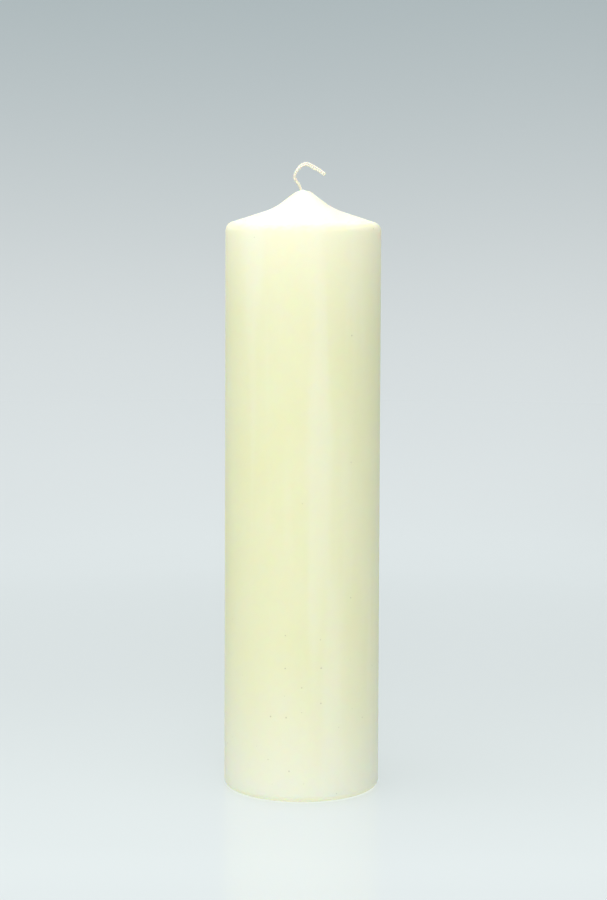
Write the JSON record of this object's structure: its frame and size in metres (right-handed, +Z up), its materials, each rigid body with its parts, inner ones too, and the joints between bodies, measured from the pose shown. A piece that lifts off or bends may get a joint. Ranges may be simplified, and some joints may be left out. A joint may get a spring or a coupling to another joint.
{
  "type": "unity candle",
  "caption": "Tall ivory pillar candle with a coned crown, a dipped wax coat and a hooked braided wick, lit as the unity candle at a wedding.",
  "frame": {"origin": "centre of the base, on the plane that the candle stands on", "axes": "+Z up the candle's axis to the wick, +X towards the side that the wick's end hooks over to, -Y towards the front"},
  "size_m": [0.0762, 0.0762, 0.3073],
  "materials": {
    "dipped_wax": "satin ivory wax, dipped",
    "cast_wax": "matt ivory wax, cast",
    "waxed_cotton": "flat-braided cotton, primed with wax",
    "tinned_steel": "bright tinned sheet steel"
  },
  "bodies": {
    "root": {"wax_coat": "dipped_wax", "wax_core": "cast_wax", "wick": "waxed_cotton", "wick_tab": "tinned_steel"}
  },
  "joints": []
}
